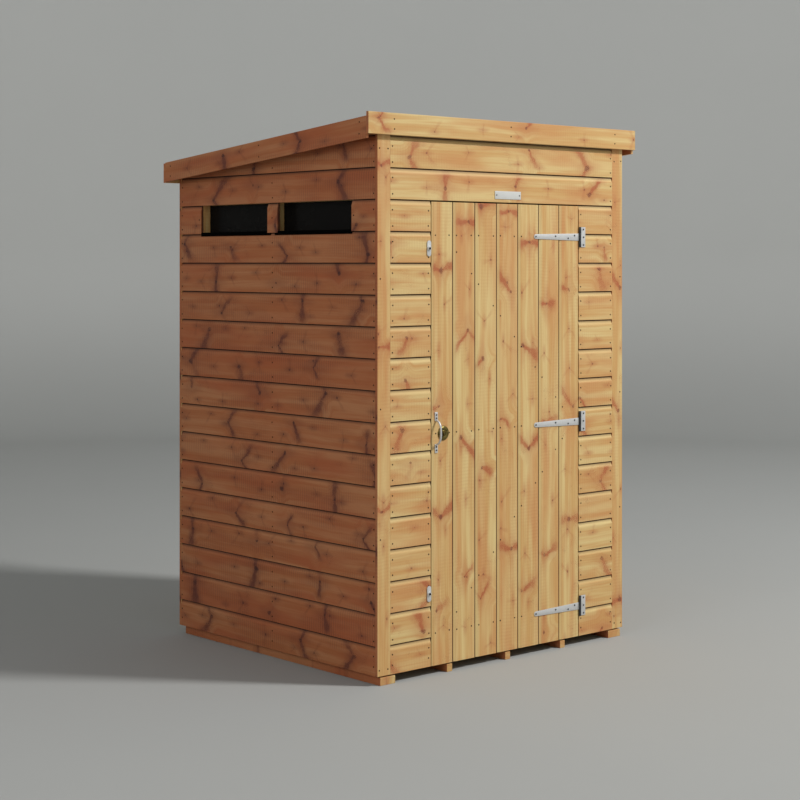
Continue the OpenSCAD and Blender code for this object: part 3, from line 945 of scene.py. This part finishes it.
class SHED_OT_framing(bpy.types.Operator):
    """Makes the wall framing, rafters, battens, bearers, ledges and braces"""

    bl_idname = "shed.framing"
    bl_label = "Framing"

    def execute(self, context):
        rng = random.Random(sizes().seed + 7)
        walls = ("front", "left", "right", "back")
        nodes = [wall + part for wall in walls for part in ("_studs", "_rails")]
        for node in nodes + ["rafters", "edge_battens", "bearers_outer", "bearers_inner"]:
            obj = timber_from(node, SHED, "frame_timber", frame_timber, rng)
            shade_left(obj)
        for node in ("door_ledges", "door_braces"):
            timber_from(node, DOOR, "frame_timber", frame_timber, rng)
        return {"FINISHED"}


class SHED_OT_floor(bpy.types.Operator):
    """Lays the floor boards"""

    bl_idname = "shed.floor"
    bl_label = "Floor boards"

    def execute(self, context):
        rng = random.Random(sizes().seed + 8)
        low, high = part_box("floor_deck")
        cover = sizes().floor_board
        template = plain_board(cover, high.z - low.z)
        rows = int(math.ceil((high.y - low.y) / cover))
        places = [
            (axes(HEX["X"], -HEX["Z"], HEX["Y"], (low.x, low.y + i * cover, high.z)), high.x - low.x)
            for i in range(rows)
        ]
        obj = repeat(template, "floor_boards", places, rng)
        discard(template)
        cut(obj, (0, high.y, 0), (0, 1, 0))
        dress(obj, finish_of("frame_timber", frame_timber))
        hand_over(obj, SHED, "frame_timber", "floor_deck")
        return {"FINISHED"}


class SHED_OT_roof(bpy.types.Operator):
    """Lays the roof boards and the felt with its nails"""

    bl_idname = "shed.roof"
    bl_label = "Roof"

    def execute(self, context):
        rng = random.Random(sizes().seed + 9)
        low, high = DECK
        thick = 12 * MM
        slope = Vector((0, 1, -ROOF_FALL)).normalized()
        up = HEX["X"].cross(slope)
        cover = sizes().floor_board
        template = plain_board(cover, thick * up.z)
        run = (high.y - low.y) / slope.y
        rows = int(math.ceil(run / cover))
        top = Vector((low.x, low.y, high.z))
        places = [
            (axes(HEX["X"], -up, slope, top + slope * (i * cover)), high.x - low.x) for i in range(rows)
        ]
        obj = repeat(template, "roof_boards", places, rng)
        discard(template)
        cut(obj, (0, high.y, 0), (0, 1, 0))
        cut(obj, (0, low.y, 0), (0, -1, 0))
        dress(obj, finish_of("frame_timber", frame_timber))
        hand_over(obj, SHED, "frame_timber", "roof_deck")
        self.felt(slope, up)
        return {"FINISHED"}

    def felt(self, slope, up):
        """Two lengths of felt across the roof, the upper lapping the lower, and clout nails at the edges."""
        low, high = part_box("roof_felt")
        run = (high.y - low.y) / slope.y
        top = Vector((low.x, low.y, high.z))
        width = high.x - low.x
        lap = 75 * MM
        sheets = []
        for name, start, end, lift in (
            ("lower", run / 2 - lap, run, -0.9 * MM),
            ("upper", 0.0, run / 2, 0.0),
        ):
            sheet = cuboid("felt_" + name, (0, 0, 0), (width, end - start, 1.0 * MM))
            sheet.data.transform(
                axes(HEX["X"], slope, up, top + slope * start + up * (lift - 1.0 * MM))
            )
            sheets.append(sheet)
        only(sheets[0])
        sheets[1].select_set(True)
        bpy.ops.object.join()
        felt = sheets[0]
        felt.name = "felt_sheets"
        cut(felt, (0, high.y - 0.2 * MM, 0), (0, 1, 0))
        cut(felt, (0, low.y + 0.2 * MM, 0), (0, -1, 0))
        dress(felt, finish_of("roof_felt", mineral_felt))
        hand_over(felt, SHED, "roof_felt", "roof_felt")
        head = primitive("cylinder", "clout", vertices=8, radius=5 * MM, depth=0.8 * MM)
        spots = []
        pitch = 85 * MM
        for along in np.arange(30 * MM, run - 20 * MM, pitch):
            spots += [(20 * MM, along), (width - 20 * MM, along)]
        for across in np.arange(60 * MM, width - 40 * MM, pitch):
            spots += [(across, 18 * MM), (across, run / 2 - 20 * MM), (across, run - 18 * MM)]
        places = [
            (axes(HEX["X"], slope, up, top + HEX["X"] * a + slope * b + up * 0.2 * MM), 1.0)
            for a, b in spots
        ]
        nails = repeat(head, "felt_nails", places)
        discard(head)
        dress(nails, finish_of("zinc", zinc))
        hand_over(nails, SHED, "galvanised")


# ------------------------------------------------------------------ nails

NAIL_LOW = 18.5 * MM
NAIL_HIGH = 74.3 * MM


def nail_head():
    """A small round head with a domed face, standing along Z."""
    head = primitive("cylinder", "nail_head", vertices=8, radius=sizes().nail_radius, depth=0.8 * MM)
    with editing(head):
        pick(head, lambda f: f.normal.z > 0.9, "FACE")
        bpy.ops.mesh.inset(thickness=sizes().nail_radius * 0.35, depth=0.25 * MM)
    return head


def facing(outward, place):
    """A matrix that stands a head on a face with that outward direction."""
    side = HEX["Z"].cross(outward)
    side = side.normalized() if side.length > 0.1 else HEX["X"]
    return axes(side, outward.cross(side), outward, place)


def board_nail_heights(top):
    """Two nail heights for each row of boards, with the trimmed lowest board's pair moved up."""
    heights = []
    for z in courses(top):
        pair = (z + NAIL_LOW, z + NAIL_HIGH) if z > CLAD_Z else (CLAD_Z + 31 * MM, CLAD_Z + 68 * MM)
        heights += pair
    return heights


class SHED_OT_nails(bpy.types.Operator):
    """Nails the boards, trims and door"""

    bl_idname = "shed.nails"
    bl_label = "Nails"

    def execute(self, context):
        rng = random.Random(sizes().seed + 10)
        head = nail_head()
        shed = self.wall_spots() + self.trim_spots()
        for name, body, spots in (("shed_nails", SHED, shed), ("door_nails", DOOR, self.door_spots())):
            places = [(facing(out, self.strayed(place, out, rng)), 1.0) for place, out in spots]
            nails = repeat(head, name, places)
            dress(nails, finish_of("dark_steel", dark_steel))
            hand_over(nails, body, "black_metal")
        discard(head)
        return {"FINISHED"}

    @staticmethod
    def strayed(place, out, rng):
        """A nail a little off its line, as driven by hand."""
        stray = Vector([rng.gauss(0, 0.7 * MM) for _ in range(3)])
        return within(Vector(place) + stray - out * stray.dot(out), NAIL_STAND)

    @staticmethod
    def wall_spots():
        spots = []
        front, left, right, back = -HEX["Y"], -HEX["X"], HEX["X"], HEX["Y"]
        edge = 10 * MM
        for z in board_nail_heights(roof_under(-HALF_D) - 15 * MM):
            xs = [HALF_W - TRIM_W - edge]
            if z < DOORWAY_TOP:
                xs.append(DOORWAY_X + 11 * MM)
            spots += [((s * x, -HALF_D, z), front) for x in xs for s in (-1, 1)]
        window_low, window_high = DOORWAY_TOP - sizes().cover, DOORWAY_TOP
        ys = [LEFT_LOW[0].y + 8 * MM, (MULLION[0].y + MULLION[1].y) / 2, LEFT_LOW[1].y - 8 * MM]
        for y in ys:
            for z in board_nail_heights(roof_under(y) - 12 * MM):
                spots.append(((HALF_W, y, z), right))
                in_window = window_low < z < window_high
                if y != ys[1] or not in_window:
                    spots.append(((-HALF_W, y, z), left))
        for y in (ys[1], PIER_FRONT[1].y - 12 * MM, PIER_BACK[0].y + 12 * MM):
            spots.append(((-HALF_W, y, (window_low + window_high) / 2), left))
        for z in board_nail_heights(roof_under(HALF_D) - 15 * MM):
            spots += [((x, HALF_D, z), back) for x in (BACK[0].x + edge, 0.0, BACK[1].x - edge)]
        return spots

    @staticmethod
    def trim_spots():
        spots = []
        for y, out in ((-HALF_D, -HEX["Y"]), (HALF_D, HEX["Y"])):
            top = roof_under(y) - 92 * MM
            bottom = CLAD_Z + 21 * MM
            for s in (-1, 1):
                for z in (bottom, top):
                    spots += [((s * (HALF_W - 9 * MM), y, z), out), ((s * (HALF_W - 48 * MM), y, z), out)]
                for i in range(1, 4):
                    z = bottom + (top - bottom) * i / 4
                    spots.append(((s * (HALF_W - 14 * MM), y, z), out))
        for node, out, face in (("fascia_front", -HEX["Y"], 0), ("fascia_back", HEX["Y"], 1)):
            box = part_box(node)
            y = box[face].y
            for x in (box[0].x + 121 * MM, 0.0, box[1].x - 121 * MM):
                spots += [((x, y, z), out) for z in (box[0].z + 20.5 * MM, box[1].z - 21.5 * MM)]
        for node, out, face in (("barge_left", -HEX["X"], 0), ("barge_right", HEX["X"], 1)):
            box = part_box(node)
            height = box[1].z - box[0].z - ROOF_FALL * (box[1].y - box[0].y)
            for share in (0.03, 0.5, 0.97):
                y = box[0].y + (box[1].y - box[0].y) * share
                top = box[1].z - ROOF_FALL * (y - box[0].y)
                spots += [((box[face].x, y, top - d), out) for d in (18 * MM, height - 18 * MM)]
        return spots

    @staticmethod
    def door_spots():
        spots = []
        out = -HEX["Y"]
        lefts = door_joints()
        rights = lefts[1:] + [LEAF[1].x]
        low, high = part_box("door_ledges")
        ledge_h = 94 * MM
        brace_foot_x, brace_foot_rise, brace_slope = -262.7 * MM, 60.5 * MM, 1.0574
        clear_of_ledge = 40 * MM
        ledges = [low.z + ledge_h / 2, MIDDLE_Z, high.z - ledge_h / 2]
        for left, right in zip(lefts, rights):
            inset = 21.5 * MM if left > LEAF[0].x else 18.5 * MM
            for x in (left + inset, right - 15.5 * MM):
                spots += [((x, LEAF[0].y, z), out) for z in ledges]
                rise = (ledges[2] - MIDDLE_Z) - brace_foot_rise - (x - brace_foot_x) * brace_slope
                if left > LEAF[0].x and rise > clear_of_ledge:
                    spots += [((x, LEAF[0].y, MIDDLE_Z + s * rise), out) for s in (-1, 1)]
        return spots


# ------------------------------------------------------------------ fittings


def screw_head(name, radius, dome):
    """A domed screw head with a cross cut in it, standing along Z."""
    head = primitive("uv_sphere", name, segments=12, ring_count=8, radius=radius)
    with editing(head):
        bpy.ops.mesh.bisect(plane_co=(0, 0, 0), plane_no=(0, 0, -1), use_fill=True, clear_outer=True)
        bpy.ops.mesh.select_all(action="SELECT")
        bpy.ops.transform.resize(value=(1, 1, dome / radius))
    return head


def cross_recess(radius, height):
    """Two crossed dark bars: painted shade standing for a screw's cross recess."""
    bars = []
    for size in ((radius, radius * 0.3), (radius * 0.3, radius)):
        bars.append(cuboid("bar", (-size[0], -size[1], 0), (size[0], size[1], height)))
    only(bars[0])
    bars[1].select_set(True)
    bpy.ops.object.join()
    return bars[0]


def add_screws(name, spots, body, radius=3.4 * MM, dome=1.0 * MM):
    """Dark screw heads at each place and outward direction, with crossed bars of painted shade for their
    recesses.
    """
    head = screw_head(name + "_head", radius, dome)
    recess = cross_recess(radius * 0.5, dome * 1.04)
    places = [(facing(out, place), 1.0) for place, out in spots]
    heads = repeat(head, name, places)
    smooth(heads, 50)
    dress(heads, finish_of("screw_steel", screw_steel))
    hand_over(heads, body, "black_metal")
    # Painted shade in each screw's recess.
    marks = repeat(recess, name + "_recesses", places)
    dress(marks, finish_of("dark_steel", dark_steel))
    hand_over(marks, body, "black_metal")
    discard(head)
    discard(recess)


class SHED_OT_hinges(bpy.types.Operator):
    """Finishes the strap hinges and their screws"""

    bl_idname = "shed.hinges"
    bl_label = "Strap hinges"

    def execute(self, context):
        out = -HEX["Y"]
        strap_spots, plate_spots = [], []
        for part in ("top", "middle", "bottom"):
            low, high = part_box("hinge_strap_" + part)
            knuckle_r, knuckle_shade_reach = 4.5 * MM, 4.9 * MM
            pin_x, z = high.x - knuckle_r, (low.z + high.z) / 2
            for kind, body in (("strap", DOOR), ("plate", SHED)):
                node = "hinge_" + kind + "_" + part
                obj = cad_copy(node, node + "_metal", 0.35 * MM, 2)
                smooth(obj)
                dress(obj, finish_of("zinc", zinc))
                # Painted shade: the faces round the knuckle get the dark screw steel, for the knuckle's unlit
                # side and the shadow it casts.
                obj.data.materials.append(finish_of("screw_steel", screw_steel))
                for face in obj.data.polygons:
                    if abs(face.center.x - pin_x) < knuckle_shade_reach:
                        face.material_index = 1
                hand_over(obj, body, "galvanised", node)
            face_y = -HALF_D - 2 * MM
            for reach, off in ((243.5, 0), (135.5, 2.5), (65.5, -5), (29, 6)):
                strap_spots.append(((pin_x - reach * MM, face_y, z + off * MM), out))
            plate_spots += [((pin_x + 21.8 * MM, face_y, z + dz * MM), out) for dz in (-30, 0, 30)]
        add_screws("strap_screws", strap_spots, DOOR)
        add_screws("plate_screws", plate_spots, SHED)
        return {"FINISHED"}


class SHED_OT_handle(bpy.types.Operator):
    """Makes the bow handle with its feet and screws"""

    bl_idname = "shed.handle"
    bl_label = "Bow handle"

    def execute(self, context):
        low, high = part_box("pull_handle")
        x, z = (low.x + high.x) / 2, (low.z + high.z) / 2
        face, reach = high.y, high.y - low.y
        foot_h, foot_w, foot_t = 32 * MM, high.x - low.x, 2.6 * MM
        rod = 3.8 * MM
        span = (high.z - low.z) / 2 - foot_h + 3 * MM
        bpy.ops.object.select_all(action="DESELECT")
        bpy.ops.curve.primitive_bezier_curve_add()
        curve = bpy.context.active_object
        spline = curve.data.splines[0]
        spline.bezier_points.add(3)
        out = face - reach + rod
        end, end_y = span - 0.5 * MM, face - 1.8 * MM
        shoulder, shoulder_y = span * 0.80, face - 17 * MM
        stops = [
            (end_y, -end), (shoulder_y, -shoulder), (out, 0.0), (shoulder_y, shoulder), (end_y, end)
        ]
        for point, (y, rise) in zip(spline.bezier_points, stops):
            point.co = (x, y, z + rise)
            point.handle_left_type = point.handle_right_type = "AUTO"
        curve.location = (0, 0, 0)
        curve.data.dimensions = "3D"
        curve.data.bevel_depth = rod
        curve.data.bevel_resolution = 4
        curve.data.resolution_u = 10
        curve.data.use_fill_caps = True
        only(curve)
        bpy.ops.object.convert(target="MESH")
        bow = bpy.context.active_object
        bow.name = "bow_handle"
        feet = []
        for s in (-1, 1):
            mid = z + s * ((high.z - low.z) / 2 - foot_h / 2)
            foot_low = (x - foot_w / 2, face - foot_t, mid - foot_h / 2)
            foot_high = (x + foot_w / 2, face, mid + foot_h / 2)
            foot = cuboid("foot", foot_low, foot_high)
            round_edges(foot, 1.1 * MM, 3)
            feet.append(foot)
        only(bow)
        for foot in feet:
            foot.select_set(True)
        bpy.ops.object.join()
        smooth(bow, 40)
        dress(bow, finish_of("zinc", zinc))
        hand_over(bow, DOOR, "galvanised", "pull_handle")
        spots = []
        for s in (-1, 1):
            mid = z + s * ((high.z - low.z) / 2 - foot_h / 2)
            spots += [((x, face - foot_t, mid + d * MM), -HEX["Y"]) for d in (-6, 6)]
        add_screws("handle_screws", spots, DOOR, 3.2 * MM, 0.9 * MM)
        return {"FINISHED"}


def spun(name, profile, segments):
    """A surface spun about Z from a profile of (radius, height) points."""
    mesh = bpy.data.meshes.new(name)
    mesh.from_pydata([(r, 0.0, h) for r, h in profile], [(i, i + 1) for i in range(len(profile) - 1)], [])
    obj = bpy.data.objects.new(name, mesh)
    bpy.context.scene.collection.objects.link(obj)
    with editing(obj):
        bpy.ops.mesh.spin(
            steps=segments, angle=2 * math.pi, center=(0, 0, 0), axis=(0, 0, 1), use_auto_merge=False
        )
        bpy.ops.mesh.select_all(action="SELECT")
        bpy.ops.mesh.remove_doubles(threshold=1e-6)
        bpy.ops.mesh.normals_make_consistent(inside=False)
    smooth(obj, 40)
    return obj


def turned(name, profile, centre, segments=48):
    """A turned piece that stands out from the front, spun from (radius, stand-off) points."""
    obj = spun(name, profile, segments)
    obj.data.transform(facing(-HEX["Y"], centre))
    return obj


class SHED_OT_lock(bpy.types.Operator):
    """Makes the brass rose with its key barrel, and the rim lock and keep inside"""

    bl_idname = "shed.lock"
    bl_label = "Lock"

    def execute(self, context):
        low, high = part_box("lock_rose")
        centre = Vector(((low.x + high.x) / 2, high.y, (low.z + high.z) / 2))
        rim = (high.x - low.x) / 2
        stand = high.y - low.y
        profile = [
            (0, 0), (rim, 0), (rim, 1.6 * MM), (rim - 1.2 * MM, 3.4 * MM), (rim - 4 * MM, 5.6 * MM),
            (rim - 8 * MM, 6.4 * MM), (rim - 12 * MM, 5.4 * MM), (10.5 * MM, 3.6 * MM),
            (9.4 * MM, 4.2 * MM), (9.0 * MM, stand - 1.2 * MM), (8.2 * MM, stand), (0, stand),
        ]
        rose = turned("brass_rose", profile, centre)
        dress(rose, finish_of("brass", brass))
        hand_over(rose, DOOR, "brass", "lock_rose")
        # Painted shade: a dark bar on the barrel's face for the shade in the keyhole.
        slot = cuboid(
            "key_slot_shade",
            centre + Vector((-0.9 * MM, -stand - 0.15 * MM, -4.5 * MM)),
            centre + Vector((0.9 * MM, -stand + 1 * MM, 4.5 * MM)),
        )
        dress(slot, finish_of("dark_steel", dark_steel))
        hand_over(slot, DOOR, "black_metal")
        for node, body in (("lock_case", DOOR), ("lock_keep", SHED)):
            case = cad_copy(node, node + "_box", 2.0 * MM, 3)
            smooth(case)
            dress(case, finish_of("black_enamel", black_enamel))
            hand_over(case, body, "black_metal", node)
        return {"FINISHED"}


class SHED_OT_turn_buttons(bpy.types.Operator):
    """Makes the pressed turn buttons and their screws"""

    bl_idname = "shed.turn_buttons"
    bl_label = "Turn buttons"

    def execute(self, context):
        for part in ("top", "bottom"):
            node = "turn_button_" + part
            obj = cad_copy(node, node + "_zinc", 0.5 * MM, 3)
            smooth(obj, 40)
            dress(obj, finish_of("zinc", zinc))
            hand_over(obj, "button_" + part, "galvanised", node)
        screws = cad_copy("turn_screws", "button_screws", 0.6 * MM, 3)
        smooth(screws, 40)
        dress(screws, finish_of("dark_steel", dark_steel))
        hand_over(screws, SHED, "galvanised", "turn_screws")
        return {"FINISHED"}


class SHED_OT_windows(bpy.types.Operator):
    """Finishes the dark panes and the near-black strips under them"""

    bl_idname = "shed.windows"
    bl_label = "Windows"

    def execute(self, context):
        for node, slot, maker in (
            ("window_panes", "dark_glazing", tinted_sheet),
            ("window_strips", "black_strip", black_rubber),
        ):
            obj = cad_copy(node, node + "_made", 0.5 * MM, 2)
            dress(obj, finish_of(slot, maker))
            hand_over(obj, SHED, slot, node)
        return {"FINISHED"}


class SHED_OT_plate(bpy.types.Operator):
    """Makes the blank white plate over the door"""

    bl_idname = "shed.plate"
    bl_label = "Blank plate"

    def execute(self, context):
        low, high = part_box("blank_plate")
        plate = cad_copy("blank_plate", "white_blank", 0.7 * MM, 3)
        smooth(plate)
        dress(plate, finish_of("white_plate", white_plastic))
        hand_over(plate, SHED, "white_plate", "blank_plate")
        z = (low.z + high.z) / 2
        spots = [((s * (high.x - 8 * MM), low.y, z), -HEX["Y"]) for s in (-1, 1)]
        add_screws("plate_pins", spots, SHED, 2.6 * MM, 0.9 * MM)
        return {"FINISHED"}


# ------------------------------------------------------------------ stage


class SHED_OT_stage(bpy.types.Operator):
    """Sets up the floor, the lights, the world and the camera"""

    bl_idname = "shed.stage"
    bl_label = "Stage"

    def execute(self, context):
        scene = context.scene
        scene.view_settings.view_transform = "Standard"
        bend, wall = 1.6, 9.6
        profile = [(0.0, 0.0), (wall - bend, 0.0)]
        for i in range(1, 13):
            turn = math.radians(90 * i / 12)
            profile.append((wall - bend + bend * math.sin(turn), bend - bend * math.cos(turn)))
        profile.append((wall, 6.0))
        ground = spun("stage_floor", profile, 96)
        dress(ground, finish_of("painted_ground", painted_ground))
        self.world(scene)
        self.lamp("key_light", (4.86, -6.76, 8.46), (0, -0.3, 1.0), 1.5, 980.0)
        self.lamp("fill_light", (-6.0, -2.0, 3.5), (0, 0, 1.0), 4.0, 70.0)
        self.camera(scene)
        return {"FINISHED"}

    @staticmethod
    def world(scene):
        """Even soft light from all sides."""
        world = bpy.data.worlds.new("soft_sky")
        world.use_nodes = True
        background = world.node_tree.nodes["Background"]
        background.inputs["Color"].default_value = (0.80, 0.82, 0.84, 1.0)
        background.inputs["Strength"].default_value = 0.35
        scene.world = world

    @staticmethod
    def lamp(name, place, target, size, power):
        lamp = bpy.data.lights.new(name, "AREA")
        lamp.shape, lamp.size, lamp.energy = "DISK", size, power
        obj = bpy.data.objects.new(name, lamp)
        bpy.context.scene.collection.objects.link(obj)
        obj.location = place
        obj.rotation_euler = (Vector(target) - Vector(place)).to_track_quat("-Z", "Y").to_euler()

    @staticmethod
    def camera(scene):
        """A level camera to the left of the front, at eye height, aimed past the front left corner."""
        turn = math.radians(41.65)
        distance, aside, eye = 6.1766, 0.0786, 1.481
        forward = Vector((math.sin(turn), math.cos(turn), 0))
        right = Vector((math.cos(turn), -math.sin(turn), 0))
        corner = Vector((-HALF_W, -HALF_D, 0))
        data = bpy.data.cameras.new("camera")
        data.sensor_width, data.lens = 36.0, 79.6
        data.shift_y = -0.1717
        cam = bpy.data.objects.new("camera", data)
        scene.collection.objects.link(cam)
        place = corner - forward * distance + right * aside
        cam.location = (place.x, place.y, eye)
        cam.rotation_euler = (math.pi / 2, 0, -turn)
        scene.camera = cam


# ------------------------------------------------------------------ panel and running

STEPS = (
    SHED_OT_stage, SHED_OT_front_boards, SHED_OT_left_boards, SHED_OT_right_boards, SHED_OT_back_boards,
    SHED_OT_door_boards, SHED_OT_trims, SHED_OT_framing, SHED_OT_floor, SHED_OT_roof, SHED_OT_nails,
    SHED_OT_hinges, SHED_OT_handle, SHED_OT_lock, SHED_OT_turn_buttons, SHED_OT_windows, SHED_OT_plate,
)


class SHED_PT_panel(bpy.types.Panel):
    """Lists the shed's pieces, sizes and colours"""

    bl_idname = "SHED_PT_panel"
    bl_label = "Pent shed"
    bl_space_type = "VIEW_3D"
    bl_region_type = "UI"
    bl_category = "Shed"

    def draw(self, context):
        layout = self.layout
        for step in STEPS:
            layout.operator(step.bl_idname)
        for group in (context.scene.shed_sizes, context.scene.shed_colours):
            for name in group.bl_rna.properties.keys():
                if name not in ("name", "rna_type"):
                    layout.prop(group, name)


CLASSES = (ShedSizes, ShedColours, *STEPS, SHED_PT_panel)


def register():
    for cls in CLASSES:
        bpy.utils.register_class(cls)
    bpy.types.Scene.shed_sizes = PointerProperty(type=ShedSizes)
    bpy.types.Scene.shed_colours = PointerProperty(type=ShedColours)


def unregister():
    del bpy.types.Scene.shed_colours
    del bpy.types.Scene.shed_sizes
    for cls in reversed(CLASSES):
        bpy.utils.unregister_class(cls)


def main():
    register()
    for step in STEPS:
        group, name = step.bl_idname.split(".")
        result = getattr(getattr(bpy.ops, group), name)()
        if result != {"FINISHED"}:
            raise RuntimeError(step.bl_label + " didn't finish")


if __name__ == "__main__":
    main()
